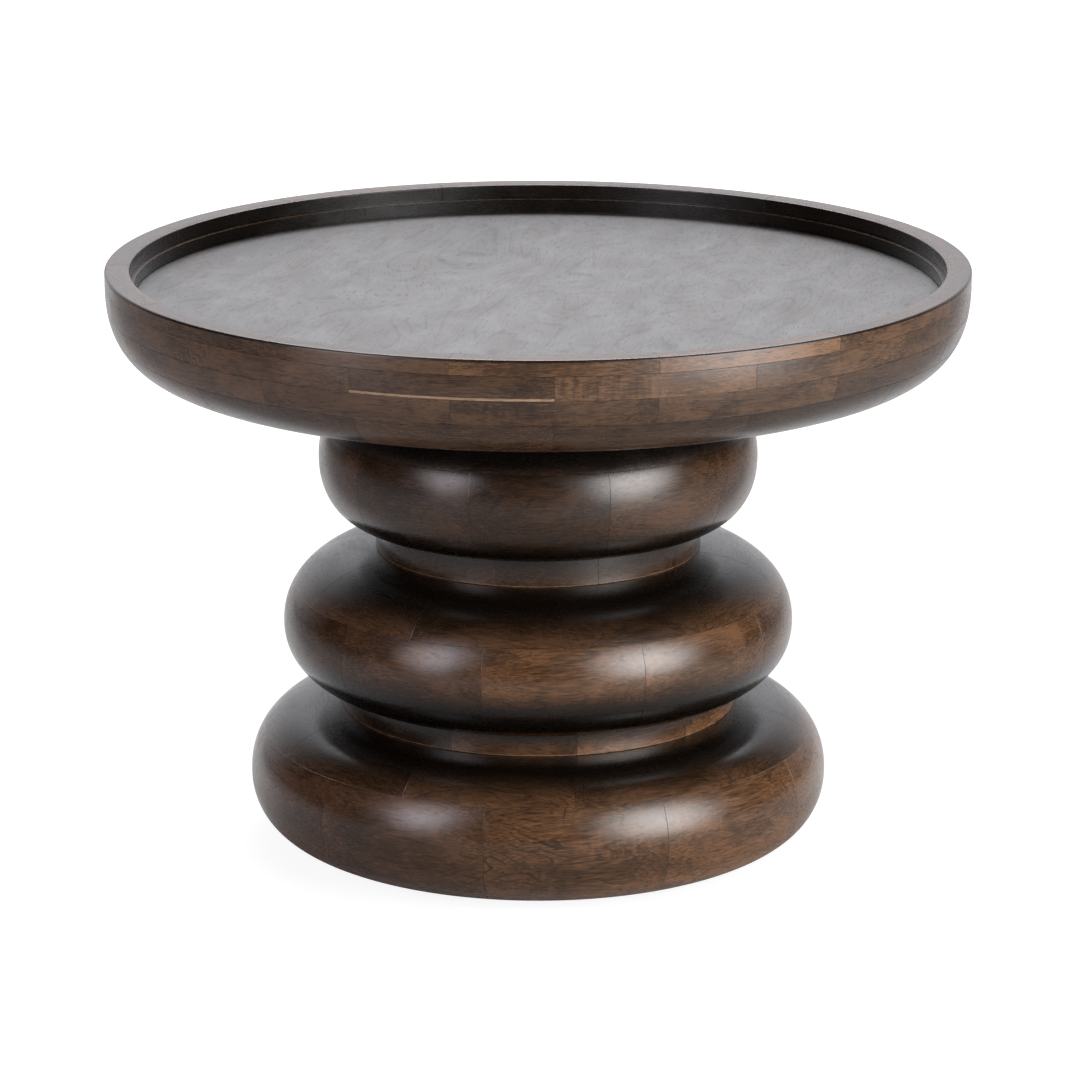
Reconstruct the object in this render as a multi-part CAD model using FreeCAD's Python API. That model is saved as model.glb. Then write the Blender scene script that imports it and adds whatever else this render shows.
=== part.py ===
import FreeCAD, Part
import math
import os

# A round pedestal coffee table, turned from courses of glued-up hardwood blocks.
# Three bulging rings, divided by straight collars, carry a wide tray top with a bowl side.
# Each course is a circle of separate blocks, laid like bricks: the glue joints of one
# course fall over the middle of the blocks of the next.
# Frame: the origin is on the floor under the centre, +Z is up and the front is at -Y.
# Lengths are in millimetres and angles in degrees. Azimuths run from the front towards +X.

# General
RING_BLOCKS = 10            # blocks in each course of the pedestal
TRAY_BLOCKS = 14            # blocks in each course of the tray
FIT_CLEARANCE = 0.3         # gap round a board that is let into blocks
OVERRUN = 5.0               # how far a cutter runs past what it cuts
FULLNESS_SHARE = 2.15       # exponent of the ring curves: 2 is an ellipse, more is squarer
TOE_CUTS = 4                # straight cuts that make up the curve below a girth
SHOULDER_CUTS = 2           # the same for each course's part of the curve above it

# Felt pads under the base ring
PAD_HEIGHT = 3.0
PAD_WIDTH = 28.0
PAD_COUNT = 5

# Base ring
BASE_RADIUS = 225.0
BASE_MAIN_HEIGHT = 82.0     # height of the thick lower course
BASE_TOP_HEIGHT = 20.5      # height of the upper course
BASE_GIRTH_HEIGHT = 47.0    # where the ring is widest, above its underside
BASE_TOE_RUN = 48.0         # how far the curve below the girth draws in
BASE_JOINT_AZIMUTH = -10.4  # first glue joint of the lower course

# Lower collar
LOWER_COLLAR_RADIUS = 154.0
LOWER_COLLAR_HEIGHT = 16.5
LOWER_COLLAR_WALL = 36.0    # from its surface to the flat inner faces of its blocks
LOWER_COLLAR_MARGIN = 11.0  # flat top of the base ring left showing round the collar
LOWER_COLLAR_JOINT_AZIMUTH = 11.0

# Middle ring, whose curves run into the two collars
MIDDLE_RADIUS = 198.0
MIDDLE_MAIN_HEIGHT = 78.0
MIDDLE_TOP_HEIGHT = 29.5
MIDDLE_GIRTH_HEIGHT = 48.5
MIDDLE_TOE_TUCK = 18.5      # how far the curve would carry on inside the lower collar
MIDDLE_SHOULDER_TUCK = 5.0  # how far the curve would carry on inside the upper collar
MIDDLE_JOINT_AZIMUTH = -12.2

# Upper collar
UPPER_COLLAR_RADIUS = 126.0
UPPER_COLLAR_HEIGHT = 23.0
UPPER_COLLAR_WALL = 34.0
UPPER_COLLAR_MARGIN = 4.0   # flat underside of the upper ring left showing round it
UPPER_COLLAR_JOINT_AZIMUTH = 21.0

# Upper ring
UPPER_RADIUS = 169.5
UPPER_MAIN_HEIGHT = 74.0
UPPER_TOP_HEIGHT = 26.5
UPPER_GIRTH_HEIGHT = 49.0
UPPER_SHOULDER_RUN = 43.0
UPPER_WALL = 89.5           # from its girth to the flat inner faces of its blocks
UPPER_JOINT_AZIMUTH = -17.6

# Neck plate, the many-sided board that carries the tray on the pedestal
NECK_MARGIN = 14.5          # flat top of the upper ring left round the plate's flats
NECK_THICKNESS = 21.0

# Tray
TRAY_RADIUS = 330.0
TRAY_BOTTOM_HEIGHT = 29.5
TRAY_THIRD_HEIGHT = 19.0
TRAY_SECOND_HEIGHT = 18.0
TRAY_RIM_HEIGHT = 11.5
TRAY_WALL_HEIGHT = 9.2      # upright part of the outer wall, below the rim's top
TRAY_BOWL_RUN = 65.0        # how far the bowl curve draws in
BOWL_FULLNESS_SHARE = 2.5   # exponent of the bowl curve
TRAY_RIM_WIDTH = 19.0
TRAY_LEDGE_WIDTH = 3.5      # how far the second course stands in past the rim
TRAY_BOTTOM_WALL = 93.7     # from the tray's side to the bottom course's inner faces
TRAY_JOINT_AZIMUTH = 2.0

# Boards that close the tray
PANEL_THICKNESS = 26.5
PANEL_BOARDS = 7
UNDERBOARD_THICKNESS = 20.0
UNDERBOARD_BOARDS = 5
BEARER_WIDTH = 60.0
BEARER_SPACING = 130.0
BEARER_END_GAP = 6.0        # least gap between a bearer's corners and the bottom course
BEARER_COUNT = 3

# Bottom plate, which closes the hollow pedestal, and the glue blocks that hold it
BOTTOM_PLATE_THICKNESS = 12.0
GLUE_BLOCK_WIDTH = 40.0
GLUE_BLOCK_DEPTH = 20.0
GLUE_BLOCK_HEIGHT = 25.0
GLUE_BLOCK_COUNT = 5

# Coach screws from the neck plate up into the tray
SCREW_RADIUS = 4.0
SCREW_HOLE_CLEARANCE = 0.5
SCREW_BITE = 14.0           # length of thread in the underboard
SCREW_HEAD_WIDTH = 13.0     # across the flats
SCREW_HEAD_HEIGHT = 5.5
SCREW_MARGIN = 25.0         # from the screws' circle out to the upper ring's inner faces
SCREW_COUNT = 4

# Levels of the seams, from the floor up
BASE_UNDERSIDE = PAD_HEIGHT
BASE_SEAM = BASE_UNDERSIDE + BASE_MAIN_HEIGHT
BASE_TOP = BASE_SEAM + BASE_TOP_HEIGHT
MIDDLE_UNDERSIDE = BASE_TOP + LOWER_COLLAR_HEIGHT
MIDDLE_SEAM = MIDDLE_UNDERSIDE + MIDDLE_MAIN_HEIGHT
MIDDLE_TOP = MIDDLE_SEAM + MIDDLE_TOP_HEIGHT
UPPER_UNDERSIDE = MIDDLE_TOP + UPPER_COLLAR_HEIGHT
UPPER_SEAM = UPPER_UNDERSIDE + UPPER_MAIN_HEIGHT
UPPER_TOP = UPPER_SEAM + UPPER_TOP_HEIGHT
TRAY_UNDERSIDE = UPPER_TOP + NECK_THICKNESS
TRAY_LOW_SEAM = TRAY_UNDERSIDE + TRAY_BOTTOM_HEIGHT
TRAY_MIDDLE_SEAM = TRAY_LOW_SEAM + TRAY_THIRD_HEIGHT
TRAY_HIGH_SEAM = TRAY_MIDDLE_SEAM + TRAY_SECOND_HEIGHT
TRAY_TOP = TRAY_HIGH_SEAM + TRAY_RIM_HEIGHT
UNDERBOARD_TOP = TRAY_UNDERSIDE + UNDERBOARD_THICKNESS

# Radii and steps that follow from the sizes above
# A bore is the distance of the flat inner faces of a course from the axis
BASE_BORE = LOWER_COLLAR_RADIUS - LOWER_COLLAR_WALL
MIDDLE_BORE = UPPER_COLLAR_RADIUS - UPPER_COLLAR_WALL
UPPER_BORE = UPPER_RADIUS - UPPER_WALL
BASE_SHOULDER_RUN = BASE_RADIUS - LOWER_COLLAR_RADIUS - LOWER_COLLAR_MARGIN
UPPER_TOE_RUN = UPPER_RADIUS - UPPER_COLLAR_RADIUS - UPPER_COLLAR_MARGIN
PAD_CIRCLE_RADIUS = (BASE_BORE + BASE_RADIUS - BASE_TOE_RUN) / 2
NECK_APOTHEM = UPPER_RADIUS - UPPER_SHOULDER_RUN - NECK_MARGIN
SCREW_CIRCLE_RADIUS = UPPER_BORE - SCREW_MARGIN
UNDERBOARD_SEAT = TRAY_RADIUS - TRAY_BOTTOM_WALL
UNDERBOARD_APOTHEM = UNDERBOARD_SEAT - FIT_CLEARANCE
RIM_INNER_RADIUS = TRAY_RADIUS - TRAY_RIM_WIDTH
RECESS_RADIUS = RIM_INNER_RADIUS - TRAY_LEDGE_WIDTH
RING_STEP = 360.0 / RING_BLOCKS
TRAY_STEP = 360.0 / TRAY_BLOCKS

UP = FreeCAD.Vector(0, 0, 1)
CENTRE = FreeCAD.Vector(0, 0, 0)


def save(name, solids):
    """Write one node, made of one or more solids, as a STEP file."""
    shape = solids[0] if len(solids) == 1 else Part.makeCompound(solids)
    shape.exportStep("parts/" + name + ".step")


def point(radius, height):
    """A point of an outline in the upright plane through the axis."""
    return FreeCAD.Vector(radius, 0, height)


def level(height):
    """A point on the axis."""
    return FreeCAD.Vector(0, 0, height)


def placed_round(solid, count, first_azimuth):
    """Copies of a solid, spaced evenly round the axis from the first azimuth.

    An azimuth of 0 is the front, at -Y, so it lies a quarter turn behind +X.
    """
    copies = []
    for index in range(count):
        copy = solid.copy()
        copy.rotate(CENTRE, UP, first_azimuth - 90.0 + index * 360.0 / count)
        copies.append(copy)
    return copies


def turned_curve(radius, girth, run, end_level, tuck=0, fullness=FULLNESS_SHARE):
    """One side of a bulge: a superellipse that leaves the girth upright and draws in.

    It has drawn in by run where it reaches end_level. With a tuck it is cut off there,
    short of lying flat, because it would carry on inwards by that much.
    The result gives the curve's points between two levels.
    """
    half_width = run + tuck
    last_turn = math.acos((tuck / half_width) ** (fullness / 2))
    half_height = (end_level - girth) / math.sin(last_turn) ** (2 / fullness)

    def stretch(start_level, stop_level, steps):
        turns = []
        for height in (start_level, stop_level):
            climb = min((height - girth) / half_height, 1)
            turns.append(math.asin(climb ** (fullness / 2)))
        points = []
        for step in range(steps + 1):
            turn = turns[0] + (turns[1] - turns[0]) * step / steps
            across = half_width * math.cos(turn) ** (2 / fullness)
            along = half_height * math.sin(turn) ** (2 / fullness)
            points.append(point(radius - half_width + across, girth + along))
        return points

    return stretch


def block(outline, inner, step, flat):
    """One block of a course, turned to its outline, with its first joint face at angle 0.

    The outline runs up the outer side. The inner side stands at the distance inner from
    the axis, either flat, as sawn, or turned round.
    """
    start = inner - OVERRUN if flat else inner
    feet = [point(start, outline[0].z)]
    heads = [point(start, outline[-1].z)]
    section = Part.Face(Part.makePolygon(feet + outline + heads + feet))
    turned = section.revolve(CENTRE, UP, step).Solids[0]
    if not flat:
        return turned
    box = turned.BoundBox
    reach = box.XMax + OVERRUN
    corner = FreeCAD.Vector(inner - reach, -reach, box.ZMin - OVERRUN)
    waste = Part.makeBox(reach, 2 * reach, box.ZLength + 2 * OVERRUN, corner)
    waste.rotate(CENTRE, UP, step / 2)
    return turned.cut(waste)


def course(name, outline, inner, joint_azimuth):
    """Write one course of the pedestal: a circle of equal blocks, flat on the inside."""
    one = block(outline, inner, RING_STEP, True)
    save(name, placed_round(one, RING_BLOCKS, joint_azimuth))


def joined(*stretches):
    """Stretches of an outline put end to end, without the doubled points."""
    points = list(stretches[0])
    for stretch in stretches[1:]:
        points += stretch[1:]
    return points


def many_sided(apothem, sides, low, high, first_azimuth):
    """An upright prism whose flat sides face the blocks of a course."""
    corner_distance = apothem / math.cos(math.pi / sides)
    corners = []
    for index in range(sides + 1):
        angle = math.radians(first_azimuth - 90.0) + index * 2 * math.pi / sides
        across = corner_distance * math.cos(angle)
        along = corner_distance * math.sin(angle)
        corners.append(FreeCAD.Vector(across, along, low))
    return Part.Face(Part.makePolygon(corners)).extrude(level(high - low))


def straight_boards(board, reach, count, along_x):
    """A round or many-sided board cut into straight boards, glued edge to edge."""
    width = 2 * reach / count
    box = board.BoundBox
    boards = []
    for index in range(count):
        corner = FreeCAD.Vector(-reach - OVERRUN, -reach + index * width, box.ZMin)
        strip = Part.makeBox(2 * (reach + OVERRUN), width, box.ZLength, corner)
        if not along_x:
            strip.rotate(CENTRE, UP, 90.0)
        boards.append(board.common(strip).Solids[0])
    return boards


def round_bar(radius, low, high, distance):
    """An upright round bar at a distance from the axis."""
    return Part.makeCylinder(radius, high - low, point(distance, low))


def build_pads():
    """Square felt pads, each under the middle of a block of the base ring."""
    half = PAD_WIDTH / 2
    corner = FreeCAD.Vector(PAD_CIRCLE_RADIUS - half, -half, 0)
    pad = Part.makeBox(PAD_WIDTH, PAD_WIDTH, PAD_HEIGHT, corner)
    middle_of_block = BASE_JOINT_AZIMUTH + RING_STEP / 2
    save("felt_pads", placed_round(pad, PAD_COUNT, middle_of_block))


def build_base_ring():
    """The base ring's two courses."""
    girth = BASE_UNDERSIDE + BASE_GIRTH_HEIGHT
    toe = turned_curve(BASE_RADIUS, girth, BASE_TOE_RUN, BASE_UNDERSIDE)
    shoulder = turned_curve(BASE_RADIUS, girth, BASE_SHOULDER_RUN, BASE_TOP)
    lower_part = toe(BASE_UNDERSIDE, girth, TOE_CUTS)
    main = joined(lower_part, shoulder(girth, BASE_SEAM, SHOULDER_CUTS))
    top = shoulder(BASE_SEAM, BASE_TOP, SHOULDER_CUTS)
    course("base_ring_main_course", main, BASE_BORE, BASE_JOINT_AZIMUTH)
    course("base_ring_top_course", top, BASE_BORE, BASE_JOINT_AZIMUTH + RING_STEP / 2)


def build_bottom_plate():
    """The many-sided plate that closes the pedestal from below, and its glue blocks.

    The blocks stand on the plate, each against the flat inner face of a base block.
    """
    plate_top = BASE_UNDERSIDE + BOTTOM_PLATE_THICKNESS
    plate = many_sided(
        BASE_BORE - FIT_CLEARANCE, RING_BLOCKS, BASE_UNDERSIDE, plate_top, BASE_JOINT_AZIMUTH
    )
    save("bottom_plate", [plate])

    corner = FreeCAD.Vector(BASE_BORE - GLUE_BLOCK_DEPTH, -GLUE_BLOCK_WIDTH / 2, plate_top)
    glue_block = Part.makeBox(GLUE_BLOCK_DEPTH, GLUE_BLOCK_WIDTH, GLUE_BLOCK_HEIGHT, corner)
    middle_of_block = BASE_JOINT_AZIMUTH + RING_STEP / 2
    save("glue_blocks", placed_round(glue_block, GLUE_BLOCK_COUNT, middle_of_block))


def build_collars():
    """The two straight collars between the rings."""
    lower = [point(LOWER_COLLAR_RADIUS, BASE_TOP), point(LOWER_COLLAR_RADIUS, MIDDLE_UNDERSIDE)]
    upper = [point(UPPER_COLLAR_RADIUS, MIDDLE_TOP), point(UPPER_COLLAR_RADIUS, UPPER_UNDERSIDE)]
    course("lower_collar", lower, BASE_BORE, LOWER_COLLAR_JOINT_AZIMUTH)
    course("upper_collar", upper, MIDDLE_BORE, UPPER_COLLAR_JOINT_AZIMUTH)


def build_middle_ring():
    """The middle ring's two courses, between the surfaces of the two collars."""
    girth = MIDDLE_UNDERSIDE + MIDDLE_GIRTH_HEIGHT
    toe_run = MIDDLE_RADIUS - LOWER_COLLAR_RADIUS
    shoulder_run = MIDDLE_RADIUS - UPPER_COLLAR_RADIUS
    toe = turned_curve(MIDDLE_RADIUS, girth, toe_run, MIDDLE_UNDERSIDE, MIDDLE_TOE_TUCK)
    shoulder = turned_curve(
        MIDDLE_RADIUS, girth, shoulder_run, MIDDLE_TOP, MIDDLE_SHOULDER_TUCK
    )
    lower_part = toe(MIDDLE_UNDERSIDE, girth, TOE_CUTS)
    main = joined(lower_part, shoulder(girth, MIDDLE_SEAM, SHOULDER_CUTS))
    top = shoulder(MIDDLE_SEAM, MIDDLE_TOP, SHOULDER_CUTS + 1)
    course("middle_ring_main_course", main, MIDDLE_BORE, MIDDLE_JOINT_AZIMUTH)
    course("middle_ring_top_course", top, MIDDLE_BORE, MIDDLE_JOINT_AZIMUTH + RING_STEP / 2)


def build_upper_ring():
    """The upper ring's two courses."""
    girth = UPPER_UNDERSIDE + UPPER_GIRTH_HEIGHT
    toe = turned_curve(UPPER_RADIUS, girth, UPPER_TOE_RUN, UPPER_UNDERSIDE)
    shoulder = turned_curve(UPPER_RADIUS, girth, UPPER_SHOULDER_RUN, UPPER_TOP)
    lower_part = toe(UPPER_UNDERSIDE, girth, TOE_CUTS)
    main = joined(lower_part, shoulder(girth, UPPER_SEAM, SHOULDER_CUTS))
    top = shoulder(UPPER_SEAM, UPPER_TOP, SHOULDER_CUTS)
    course("upper_ring_main_course", main, UPPER_BORE, UPPER_JOINT_AZIMUTH)
    course("upper_ring_top_course", top, UPPER_BORE, UPPER_JOINT_AZIMUTH + RING_STEP / 2)


def build_neck():
    """The neck plate, and the coach screws that hold the tray down on it."""
    hole = round_bar(
        SCREW_RADIUS + SCREW_HOLE_CLEARANCE,
        UPPER_TOP - OVERRUN,
        TRAY_UNDERSIDE + OVERRUN,
        SCREW_CIRCLE_RADIUS,
    )
    plate = many_sided(
        NECK_APOTHEM, RING_BLOCKS, UPPER_TOP, TRAY_UNDERSIDE, UPPER_JOINT_AZIMUTH
    )
    holes = Part.makeCompound(placed_round(hole, SCREW_COUNT, 0))
    save("neck_plate", [plate.cut(holes).Solids[0]])

    shank = round_bar(
        SCREW_RADIUS, UPPER_TOP, TRAY_UNDERSIDE + SCREW_BITE, SCREW_CIRCLE_RADIUS
    )
    head = many_sided(
        SCREW_HEAD_WIDTH / 2, 6, UPPER_TOP - SCREW_HEAD_HEIGHT, UPPER_TOP, 0
    )
    head.translate(point(SCREW_CIRCLE_RADIUS, 0))
    screw = head.fuse(shank).Solids[0]
    save("tray_screws", placed_round(screw, SCREW_COUNT, 0))


def build_tray_wall():
    """The four block courses of the tray, laid like bricks, with their inner steps."""
    wall_foot = TRAY_TOP - TRAY_WALL_HEIGHT
    bowl = turned_curve(
        TRAY_RADIUS,
        wall_foot,
        TRAY_BOWL_RUN,
        TRAY_UNDERSIDE,
        fullness=BOWL_FULLNESS_SHARE,
    )
    bottom = bowl(TRAY_UNDERSIDE, TRAY_LOW_SEAM, TOE_CUTS)
    third = bowl(TRAY_LOW_SEAM, TRAY_MIDDLE_SEAM, SHOULDER_CUTS)
    second = bowl(TRAY_MIDDLE_SEAM, TRAY_HIGH_SEAM, 1)
    rim = [bowl(TRAY_HIGH_SEAM, wall_foot, 1)[0], point(TRAY_RADIUS, wall_foot)]
    rim.append(point(TRAY_RADIUS, TRAY_TOP))

    half_step = TRAY_STEP / 2
    courses = (
        ("tray_bottom_course", bottom, UNDERBOARD_SEAT, True, 0),
        ("tray_third_course", third, RECESS_RADIUS, True, half_step),
        ("tray_second_course", second, RECESS_RADIUS, False, 0),
        ("tray_rim_course", rim, RIM_INNER_RADIUS, False, half_step),
    )
    for name, outline, inner, flat, shift in courses:
        one = block(outline, inner, TRAY_STEP, flat)
        save(name, placed_round(one, TRAY_BLOCKS, TRAY_JOINT_AZIMUTH + shift))


def build_tray_boards():
    """The panel, the underboard and the bearers between them."""
    panel_radius = RECESS_RADIUS - FIT_CLEARANCE
    panel = round_bar(panel_radius, TRAY_LOW_SEAM, TRAY_LOW_SEAM + PANEL_THICKNESS, 0)
    save("tray_panel", straight_boards(panel, panel_radius, PANEL_BOARDS, False))

    underboard = many_sided(
        UNDERBOARD_APOTHEM, TRAY_BLOCKS, TRAY_UNDERSIDE, UNDERBOARD_TOP, TRAY_JOINT_AZIMUTH
    )
    pilot = round_bar(
        SCREW_RADIUS, TRAY_UNDERSIDE - OVERRUN, TRAY_UNDERSIDE + SCREW_BITE, SCREW_CIRCLE_RADIUS
    )
    pilots = Part.makeCompound(placed_round(pilot, SCREW_COUNT, 0))
    reach = underboard.BoundBox.YMax
    boards = straight_boards(underboard.cut(pilots), reach, UNDERBOARD_BOARDS, False)
    save("tray_underboard", boards)

    reach = UNDERBOARD_SEAT - BEARER_END_GAP
    thickness = TRAY_LOW_SEAM - UNDERBOARD_TOP
    bearers = []
    for index in range(BEARER_COUNT):
        middle = (index - (BEARER_COUNT - 1) / 2) * BEARER_SPACING
        outer_edge = abs(middle) + BEARER_WIDTH / 2
        half_length = math.sqrt(reach * reach - outer_edge * outer_edge)
        corner = FreeCAD.Vector(-half_length, middle - BEARER_WIDTH / 2, UNDERBOARD_TOP)
        bearers.append(Part.makeBox(2 * half_length, BEARER_WIDTH, thickness, corner))
    save("tray_bearers", bearers)


def main():
    os.makedirs("parts", exist_ok=True)
    build_pads()
    build_base_ring()
    build_bottom_plate()
    build_collars()
    build_middle_ring()
    build_upper_ring()
    build_neck()
    build_tray_wall()
    build_tray_boards()


main()
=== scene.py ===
"""Looks of a round coffee table, turned from courses of glued-up hardwood blocks.

Three bulging rings, divided by straight collars, carry a wide tray top with a bowl side.
Lengths are in metres and angles in degrees, unless a name or a note says otherwise.
Azimuths run from the front, at -Y, towards +X.
"""

import math
import random

import bmesh
import bpy
import numpy as np
from mathutils import Matrix, Vector


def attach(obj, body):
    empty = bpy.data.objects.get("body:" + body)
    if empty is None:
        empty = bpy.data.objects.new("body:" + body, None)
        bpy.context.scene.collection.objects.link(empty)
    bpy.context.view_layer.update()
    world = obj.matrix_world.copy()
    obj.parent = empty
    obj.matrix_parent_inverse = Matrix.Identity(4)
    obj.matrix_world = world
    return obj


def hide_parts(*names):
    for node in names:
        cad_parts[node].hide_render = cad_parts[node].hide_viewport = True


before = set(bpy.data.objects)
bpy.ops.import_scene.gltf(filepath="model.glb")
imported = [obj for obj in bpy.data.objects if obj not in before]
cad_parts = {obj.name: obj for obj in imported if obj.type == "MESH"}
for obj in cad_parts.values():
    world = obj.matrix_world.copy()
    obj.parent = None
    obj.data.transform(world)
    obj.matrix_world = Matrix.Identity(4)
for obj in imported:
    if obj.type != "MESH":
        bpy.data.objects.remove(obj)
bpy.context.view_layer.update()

MM = 0.001
ROOT = "root"
RING_BLOCKS = 10
TRAY_BLOCKS = 14
RING_STEP = 360.0 / RING_BLOCKS
TRAY_STEP = 360.0 / TRAY_BLOCKS
RING_FULLNESS = 2.15        # exponent of the rings' curves
BOWL_FULLNESS = 2.5         # exponent of the tray's bowl curve
TURNS_PER_BLOCK = 22        # facets round one block, few enough to stay light
SHARP_CORNER = 40.0         # degrees, above which an edge of a block is eased
FOLLOWS_OUTLINE = 0.93      # cosine, above which a face shades with the turned surface
UPRIGHT = 0.5               # share of a face's normal that has to lie level
GRAIN_TILT = 2.2            # degrees, how far a block's grain strays from its length
GRAIN_SLIP = 4.0            # m, how far apart in the pattern the blocks are cut
SHADE_SPREAD = 0.14         # how much the blocks' depth of stain varies
SHADE_LEAST, SHADE_MOST = 0.7, 1.4
PLAIN_RIPPLE = 0.4          # how rippled a block is, unless it is singled out
CUT_TOLERANCE = 1e-7        # m

# The marks that a face's edge attribute carries: dark joints, painted shade and pale wear
JOINT_MARK = -0.65
PAINTED_SHADE_MARK = -1.0
RUBBED_MARK = 0.9

# Sizes in mm. Levels are above the floor, and an inner size is to the flat inner faces.
JOINT_EASE = 0.2            # how far lacquer softens the edges of a joint
SAW_OVERRUN = 5.0           # what the saw takes off the inner side of a block
SAME_POINT = 0.002          # nearer points of an outline count as one
ON_OUTLINE = 0.02           # nearer points of a block count as turned
ARRIS = 0.9                 # rounding of the edges that a hand touches
PAD_TOP = 3.0
BASE_RADIUS, BASE_INNER = 225.0, 118.0
BASE_GIRTH, BASE_SEAM, BASE_TOP = 50.0, 85.0, 105.5
LOWER_COLLAR_RADIUS, LOWER_COLLAR_TOP = 154.0, 122.0
MIDDLE_RADIUS, MIDDLE_INNER = 198.0, 92.0
MIDDLE_GIRTH, MIDDLE_SEAM, MIDDLE_TOP = 170.5, 200.0, 229.5
UPPER_COLLAR_RADIUS, UPPER_COLLAR_TOP = 126.0, 252.5
UPPER_RADIUS, UPPER_INNER = 169.5, 80.0
UPPER_GIRTH, UPPER_SEAM, UPPER_TOP = 301.5, 326.5, 353.0
TRAY_RADIUS, TRAY_FOOT, TRAY_INNER = 330.0, 374.0, 236.3
TRAY_LOW_SEAM, TRAY_MIDDLE_SEAM, TRAY_HIGH_SEAM = 403.5, 422.5, 440.5
BOWL_END = 442.8            # where the bowl's curve turns upright
TRAY_TOP = 452.0
RIM_INNER_RADIUS, RECESS_RADIUS = 311.0, 307.5
RIM_EASE = 1.9              # rounding of the rim's outer edge
RIM_EDGE_SHADE = (329.5, 451.4, 1.4)    # radius, level and reach of the painted shade in that edge
RIM_BREAK = 315.5           # where the rim's flat top turns to fall inwards
RIM_BREAK_EASE = 36.0
RIM_FALL = 98.0             # degrees from outwards, the way that the falling part faces
RIM_LIP = 451.37            # level at which it would meet the recess's wall
LEDGE_OUTER, LEDGE_BROW = 329.6, 308.1      # the flat of the ledge, from under the rim
LEDGE_EASE = 0.5
SHADED_WALL_DEPTH = 0.5             # depth behind a recess's wall that takes its painted shade
PANEL_RADIUS, PANEL_TOP, PANEL_BOARDS = 307.2, 430.0, 7
PANEL_LEAN = 14.0           # degrees, the slant of its grain
PANEL_JOINT_EASE = 0.05

# Rubbed edges: how far the wear reaches, in mm, and its strength
SEAM_WEAR, COLLAR_WEAR, LEDGE_WEAR = (0.5, 0.3), (ARRIS, 0.7), (0.6, 0.25)

# Azimuths of the first glue joint of each kind of course
BASE_JOINT, MIDDLE_JOINT, UPPER_JOINT = -10.4, -12.2, -17.6
LOWER_COLLAR_JOINT, UPPER_COLLAR_JOINT = 11.0, 21.0
TRAY_JOINT = 2.0


# Outlines, in mm: lists of (radius, height, normal outwards, normal upwards)

def swell(radius, girth, run, end_level, tuck=0.0, fullness=RING_FULLNESS):
    """One side of a bulge, a superellipse that leaves the girth upright and draws in.

    run is how far it has drawn in at the end level, and tuck how much further it would go.
    """
    half_width = run + tuck
    last_turn = math.acos((tuck / half_width) ** (fullness / 2))
    half_height = (end_level - girth) / math.sin(last_turn) ** (2 / fullness)

    def stretch(start_level, stop_level, steps):
        turns = []
        for height in (start_level, stop_level):
            climb = min((height - girth) / half_height, 1)
            turns.append(math.asin(climb ** (fullness / 2)))
        points = []
        for turn in np.linspace(turns[0], turns[1], steps + 1):
            across = max(math.cos(turn), 0.0) ** (2 / fullness)
            along = math.sin(turn) ** (2 / fullness)
            outwards = across ** (fullness - 1) / half_width
            upwards = along ** (fullness - 1) / half_height
            size = math.hypot(outwards, upwards)
            points.append(
                (
                    radius - half_width + half_width * across,
                    girth + half_height * along,
                    outwards / size,
                    upwards / size,
                )
            )
        return points

    return stretch


def flat_run(start, stop):
    """A straight stretch of an outline. Going up the outside, its normal points outwards."""
    run = (stop[0] - start[0], stop[1] - start[1])
    size = math.hypot(*run)
    normal = (run[1] / size, -run[0] / size)
    return [(*start, *normal), (*stop, *normal)]


def eased_corner(radius, height, ease, first, last, steps=4):
    """A rounded edge: an arc from one normal's angle to another's, 0 being outwards.

    The radius and height are those of the sharp corner that it takes off.
    """
    middle = math.radians((first + last) / 2)
    half = math.radians(abs(last - first) / 2)
    back = ease / math.cos(half)
    centre = (radius - back * math.cos(middle), height - back * math.sin(middle))
    points = []
    for angle in np.radians(np.linspace(first, last, steps + 1)):
        across, up = math.cos(angle), math.sin(angle)
        points.append((centre[0] + ease * across, centre[1] + ease * up, across, up))
    return points


# Blocks

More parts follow.
